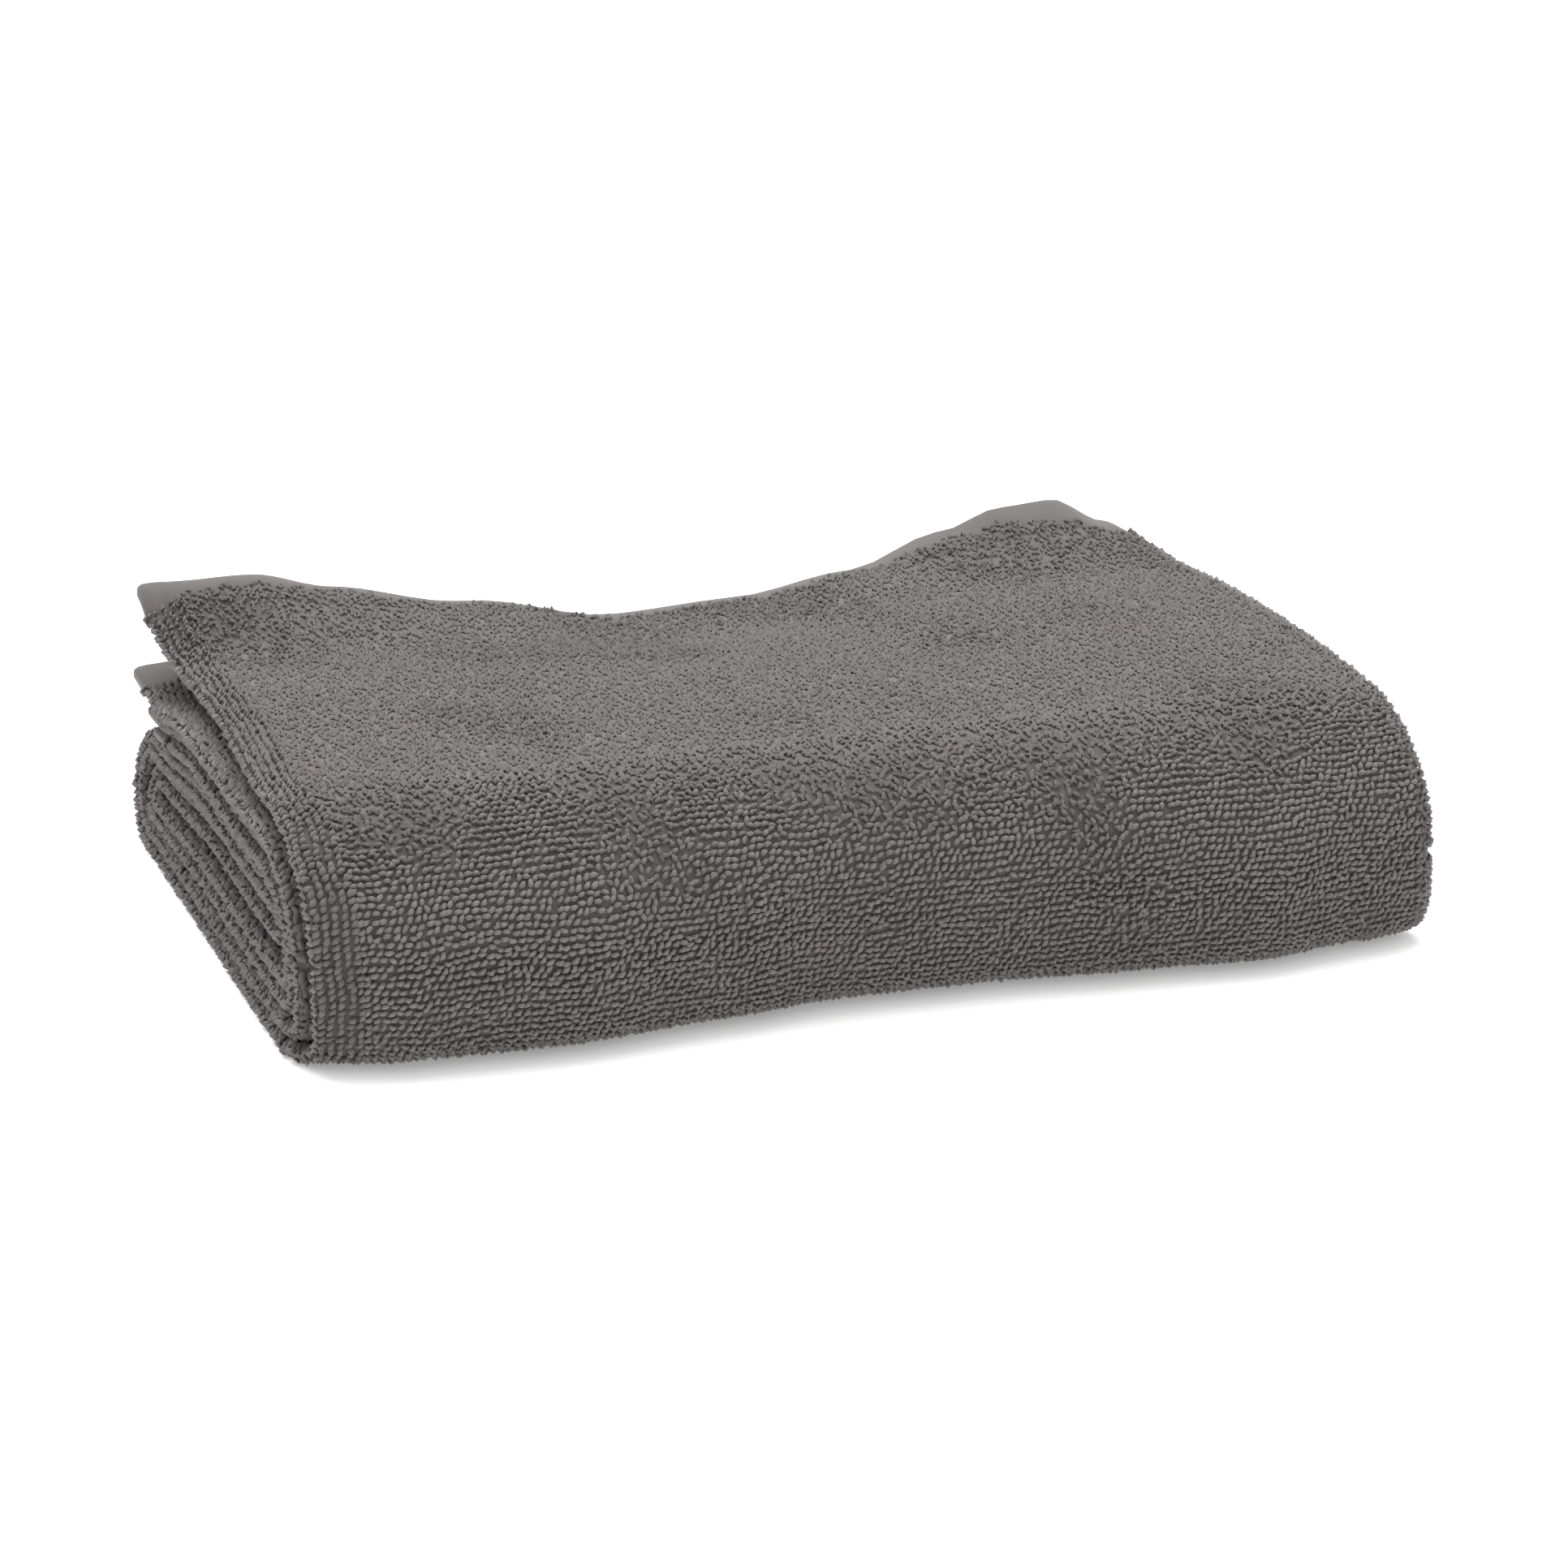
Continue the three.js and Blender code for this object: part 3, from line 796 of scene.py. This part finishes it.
def build_pile():
    """The pile, region by region: top, front, back, left edges and the folds at the right end."""
    cloth = Cloth(PILE_FINENESS)
    pile = Pile(cloth)
    near, far = cloth.sides
    top_end, front_end, bottom_end, back_end = (
        near["length"][cloth.ends[stretch]] for stretch in ("top", "front", "bottom", "back")
    )
    shown_end = back_end + MIDDLE_REACH

    def station(side, length):
        return np.interp(length, side["length"], np.arange(cloth.count))

    def grid(start, end, pitch):
        """Places over the near side, every other row shifted: across, and along the cloth."""
        across, length = [], []
        for number, row in enumerate(np.arange(start, end, pitch[1])):
            near_span = float(cloth.spans(station(near, np.array([row])))[0][0])
            shift = pitch[0] * ROW_SHIFTS[number % 2]
            columns = np.arange(FIRST_COLUMN, near_span, pitch[0]) + shift
            across.append(columns)
            length.append(np.full_like(columns, row))
        return np.concatenate(across), np.concatenate(length)

    def field(name, start, end, order_of, pitch, yarn_sides):
        """Loops on a grid over the near side's outer face, past the border of its hem."""
        across, length = grid(start, end, pitch)
        border = column_at(PILE_BORDER, "start", across)
        border = border + rng.normal(0, BORDER_SPREAD, len(across))
        shown = length > border
        across, length, border = across[shown], length[shown], border[shown]
        order = order_of(across, length)
        columned = 1 - smooth((across / pitch[0] - RIDGED_COLUMNS) / RIDGES_FADE)
        column = np.round((across - FIRST_COLUMN) / pitch[0])
        ridge = FIRST_COLUMN + column * pitch[0] * RIDGE_SPACING + waves("ridge", length, length)
        across = lerp(across, ridge, columned)
        scatter = by_lie("scatter", order, columned)
        wavy = waves("place", across, length) + waves("fine_place", across, length)
        across = np.maximum(across + rng.normal(0, scatter), NEAREST_SELVEDGE)
        length = length + wavy * (1 - columned) + rng.normal(0, scatter)
        k = station(near, np.clip(length, start - FIELD_MARGIN, end + FIELD_MARGIN))
        near_hem = 1 - smooth((length - border - ROUGH_REACH) / ROUGH_FADE)
        rough = smooth(lerp(*ROUGH_LEVELS, near_hem) + waves("rough", across, length))
        at_border = 1 - smooth((length - border) / BORDER_SHADE_WIDTH)
        # Painted shade darkens the feet in rough patches, and a painted shadow those along the
        # hem's border
        pile.add(
            name, pile.frames(across, k, face_off(length)), order, columned, yarn_sides,
            size=pitch[1] / FRONT_PITCH[1],
            shaggy=1 + rough,
            turned=waves("turn", across, length),
            shaded=lerp(lerp(1, ROUGH_SHADE, rough), BORDER_SHADE, at_border),
        )

    def top_order(across, length):
        past = length - top_end + ROWS_START - column_at(ROWS_LATER, "later", across)
        return smooth((past + waves("rows", across, length)) / ROWS_WIDTH)

    def front_order(across, length):
        patchy = smooth(FRONT_ORDER + waves("front", across, length))
        in_patches = smooth((length - front_end + PATCHES_START) / PATCHES_WIDTH)
        return top_order(across, length) * lerp(1, patchy, in_patches)

    def back_order(across, length):
        return smooth(BACK_ORDER + waves("back", across, length))

    def edges():
        """Every ply's edge at the left end: loops on its rim and on both its faces, but for those
        that a field covers."""
        faces, rims = [], []
        for on_far, side in ((False, near), (True, far)):
            rows = np.arange(PILE_START, side["length"][-1] - PILE_START, EDGE_PITCH[1])
            k = station(side, rows)
            span = sum(cloth.spans(k))
            rims.append((np.full(len(k), on_far), k))
            for face in (1, -1):
                for column in range(LEDGE_COLUMNS):
                    ledge = (k < cloth.ends["front"]) & on_far & (face == -1)
                    covered = (k < station(near, shown_end)) & (not on_far) & (face == 1)
                    keep = ~covered & (ledge | (column < EDGE_COLUMNS))
                    edge = np.full(len(k), FIRST_LEDGE + column * EDGE_PITCH[0])
                    across = span - edge if on_far else edge
                    off = np.full(keep.sum(), GROUND_OFF * face)
                    faces.append((across[keep], k[keep], off))
        across, k, off = (np.concatenate(values) for values in zip(*faces))
        across = across + rng.normal(0, EDGE_SCATTER, len(k))
        k = k + rng.normal(0, EDGE_SCATTER, len(k))
        order, columned = np.full(len(k), EDGE_ORDER), np.full(len(k), LEDGE_COLUMNED)
        surface = pile.frames(across, k, off)
        pile.add("pile_ledges", surface, order, columned, shaggy=LEDGE_SHAGGY, **EDGE_LOOPS)
        on_far, k = (np.concatenate(values) for values in zip(*rims))
        k = k + rng.normal(0, EDGE_SCATTER, len(k))
        order = np.full(len(k), EDGE_ORDER)
        pile.add("pile_rims", pile.rims(on_far, k), order, np.zeros(len(k)), **EDGE_LOOPS)

    def rounds():
        """The folded end at the right: the rounds that join the two sides, and a little beside."""
        across, stations = [], []
        rows = np.arange(ROUND_START, near["length"][-1] - PILE_START, ROUND_PITCH[1])
        for number, row in enumerate(rows):
            k = float(station(near, row))
            near_span, round_span, _ = (float(span[0]) for span in cloth.spans(np.array([k])))
            count = max(FEWEST_ROUND, round((round_span + ROUND_EXTRA) / ROUND_PITCH[0]))
            turns = (np.arange(count) + ROUND_SHIFTS[number % 2]) / count
            beside = [near_span - BEFORE_ROUND, near_span + round_span + AFTER_ROUND]
            columns = np.concatenate([near_span + round_span * turns, beside])
            across.append(columns)
            stations.append(np.full_like(columns, k))
        across, k = np.concatenate(across), np.concatenate(stations)
        across = across + rng.normal(0, ROUND_SCATTER[0], len(k))
        k = k + rng.normal(0, ROUND_SCATTER[1], len(k))
        order = ROUND_ORDERED * smooth(ROUND_ORDER + waves("round", across, k))
        length = np.interp(k, np.arange(cloth.count), near["length"])
        surface = pile.frames(across, k, face_off(length))
        in_columns = np.zeros(len(k))
        pile.add("pile_right", surface, order, in_columns, yarn_sides=3, size=ROUND_SIZE)

    top_start, foot_end = min(PILE_BORDER["start"]), front_end + FOOT_REACH
    field("pile_top", top_start, top_end, top_order, TOP_PITCH, yarn_sides=3)
    field("pile_front", top_end, foot_end, front_order, FRONT_PITCH, yarn_sides=4)
    field("pile_back", bottom_end - FOOT_REACH, shown_end, back_order, BACK_PITCH, yarn_sides=3)
    edges()
    rounds()
    return pile.meshes


# The finish: warm mid grey cotton, a little uneven in its dye, in linear colour. Each has how far
# its yarns differ from that colour, the scale of its bump and its depth in millimetres, and the
# scale of its weave where that shows.
# The ground's and the hem's colours are darker than the pile's, though it is one yarn: painted
# shade, for the ground deep among the loops and for the hem the fine shade of its weave
COTTONS = {
    "pile_cotton": {
        "colour": (0.155, 0.141, 0.133), "spread": 0.16, "bump_scale": 1900, "bump_mm": 0.16,
    },
    "ground_cotton": {
        "colour": (0.13, 0.118, 0.112), "spread": 0.2, "bump_scale": 1500, "bump_mm": 0.3,
    },
    "hem_cotton": {
        "colour": (0.087, 0.077, 0.072), "spread": 0.05, "bump_scale": 2600, "bump_mm": 0.08,
        "weave": 330,
    },
}
COTTON_SHEEN = {
    "Roughness": 0.92, "Specular IOR Level": 0.18, "Sheen Weight": 0.22, "Sheen Roughness": 0.6,
}

# The noise from yarn to yarn, and where its ramp begins and ends
YARN_SCALE = 330
YARN_DETAIL = 2
RAMP_ENDS = (0.32, 0.68)

# The noise of the soft patches, how much it tints, and the detail of it and of the bump
PATCH_SCALE = 70
PATCH_TINT = 0.09
FINE_DETAIL = 3

# How strong the bump of the yarn's twist is, and that of the hem's weave with its depth
BUMP_STRENGTH = 0.6
WEAVE_STRENGTH = 0.5
WEAVE_DISTORTION = 1.5
WEAVE_MM = 0.12


def set_inputs(node, values):
    for name, value in values.items():
        node.inputs[name].default_value = value


def cotton(name, colour, spread, bump_scale, bump_mm, weave=0):
    """Cotton whose colour varies from yarn to yarn and in soft patches, times the mesh's painted
    shade, and whose twist shows as fine bump."""
    material = bpy.data.materials.new(name)
    material.use_nodes = True
    nodes, links = material.node_tree.nodes, material.node_tree.links
    shader = nodes["Principled BSDF"]
    set_inputs(shader, COTTON_SHEEN)
    place = nodes.new("ShaderNodeTexCoord").outputs["Object"]

    def noise(scale, detail):
        node = nodes.new("ShaderNodeTexNoise")
        set_inputs(node, {"Scale": scale, "Detail": detail})
        links.new(place, node.inputs["Vector"])
        return node

    def mix(blend_type, factor):
        node = nodes.new("ShaderNodeMix")
        node.data_type = "RGBA"
        node.blend_type = blend_type
        node.inputs["Factor"].default_value = factor
        return node

    def bump(strength, depth, height, below=None):
        node = nodes.new("ShaderNodeBump")
        set_inputs(node, {"Strength": strength, "Distance": depth * MM})
        links.new(height, node.inputs["Height"])
        if below:
            links.new(below.outputs["Normal"], node.inputs["Normal"])
        return node

    ramp = nodes.new("ShaderNodeValToRGB")
    for element, position, factor in zip(
        ramp.color_ramp.elements, RAMP_ENDS, (1 - spread, 1 + spread)
    ):
        element.position = position
        element.color = (*(channel * factor for channel in colour), 1)
    links.new(noise(YARN_SCALE, YARN_DETAIL).outputs["Fac"], ramp.inputs["Fac"])
    tint = mix("SOFT_LIGHT", PATCH_TINT)
    links.new(ramp.outputs["Color"], tint.inputs["A"])
    links.new(noise(PATCH_SCALE, FINE_DETAIL).outputs["Color"], tint.inputs["B"])
    # The colour is multiplied by the mesh's painted shade: shade and light painted among the loops
    painted_shade_input = nodes.new("ShaderNodeAttribute")
    painted_shade_input.attribute_name = "painted_shade"
    shaded = mix("MULTIPLY", 1)
    links.new(tint.outputs["Result"], shaded.inputs["A"])
    links.new(painted_shade_input.outputs["Fac"], shaded.inputs["B"])
    links.new(shaded.outputs["Result"], shader.inputs["Base Color"])
    last = bump(BUMP_STRENGTH, bump_mm, noise(bump_scale, FINE_DETAIL).outputs["Fac"])
    for direction in ("X", "Y") if weave else ():
        wave = nodes.new("ShaderNodeTexWave")
        wave.bands_direction = direction
        set_inputs(wave, {"Scale": weave, "Distortion": WEAVE_DISTORTION})
        links.new(place, wave.inputs["Vector"])
        last = bump(WEAVE_STRENGTH, WEAVE_MM, wave.outputs["Fac"], last)
    links.new(last.outputs["Normal"], shader.inputs["Normal"])
    return material


def dress():
    cottons = {name: cotton(name, **finish) for name, finish in COTTONS.items()}
    terry = build_cloth()
    terry.data.materials.append(cottons["ground_cotton"])
    terry.data.materials.append(cottons["hem_cotton"])
    loops = build_pile()
    for piece in loops:
        piece.data.materials.append(cottons["pile_cotton"])
    for piece in [terry, *loops]:
        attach(piece, "root")
    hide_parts("towel")


# The pale floor, a little lit by itself, and its size in metres
FLOOR_SIZE = 24
FLOOR_FINISH = {
    "Base Color": (0.9, 0.9, 0.9, 1),
    "Roughness": 0.9,
    "Specular IOR Level": 0.1,
    "Emission Color": (1, 1, 1, 1),
    "Emission Strength": 0.25,
}


def pale_floor():
    bpy.ops.mesh.primitive_plane_add(size=FLOOR_SIZE)
    floor = bpy.context.object
    floor.name = "floor"
    material = bpy.data.materials.new("pale_floor")
    material.use_nodes = True
    set_inputs(material.node_tree.nodes["Principled BSDF"], FLOOR_FINISH)
    floor.data.materials.append(material)


# The light: an even surround, and one broad soft lamp, whose spread, height and turn from the
# back are in degrees
SURROUND = {"Color": (1, 1, 1, 1), "Strength": 0.95}
LAMP_ENERGY = 3.4
LAMP_SPREAD = 60
LAMP_HEIGHT = radians(68)
LAMP_TURN = radians(10)


def studio_light():
    world = bpy.data.worlds.new("studio")
    world.use_nodes = True
    set_inputs(world.node_tree.nodes["Background"], SURROUND)
    bpy.context.scene.world = world
    lamp = bpy.data.objects.new("overhead", bpy.data.lights.new("overhead", "SUN"))
    lamp.data.energy = LAMP_ENERGY
    lamp.data.angle = radians(LAMP_SPREAD)
    towards = Vector((
        cos(LAMP_HEIGHT) * sin(LAMP_TURN),
        cos(LAMP_HEIGHT) * cos(LAMP_TURN),
        sin(LAMP_HEIGHT),
    ))
    lamp.rotation_euler = towards.to_track_quat("Z", "Y").to_euler()
    bpy.context.scene.collection.objects.link(lamp)
    bpy.context.scene.view_settings.view_transform = "Standard"


# The camera, from the photograph's outline: its place, how far it looks down and to the right,
# and its field, in degrees
CAMERA_PLACE = (-250.8, -1148.3, 454.9)
CAMERA_DOWN = 17.65
CAMERA_RIGHT = 18.99
CAMERA_FIELD = 20


def photo_camera():
    camera = bpy.data.objects.new("camera", bpy.data.cameras.new("camera"))
    camera.data.sensor_fit = "HORIZONTAL"
    camera.data.angle = radians(CAMERA_FIELD)
    camera.location = (np.array(CAMERA_PLACE) + SHIFT) * MM
    camera.rotation_euler = (radians(90 - CAMERA_DOWN), 0, radians(-CAMERA_RIGHT))
    bpy.context.scene.collection.objects.link(camera)
    bpy.context.scene.camera = camera


photo_camera()
studio_light()
pale_floor()
dress()
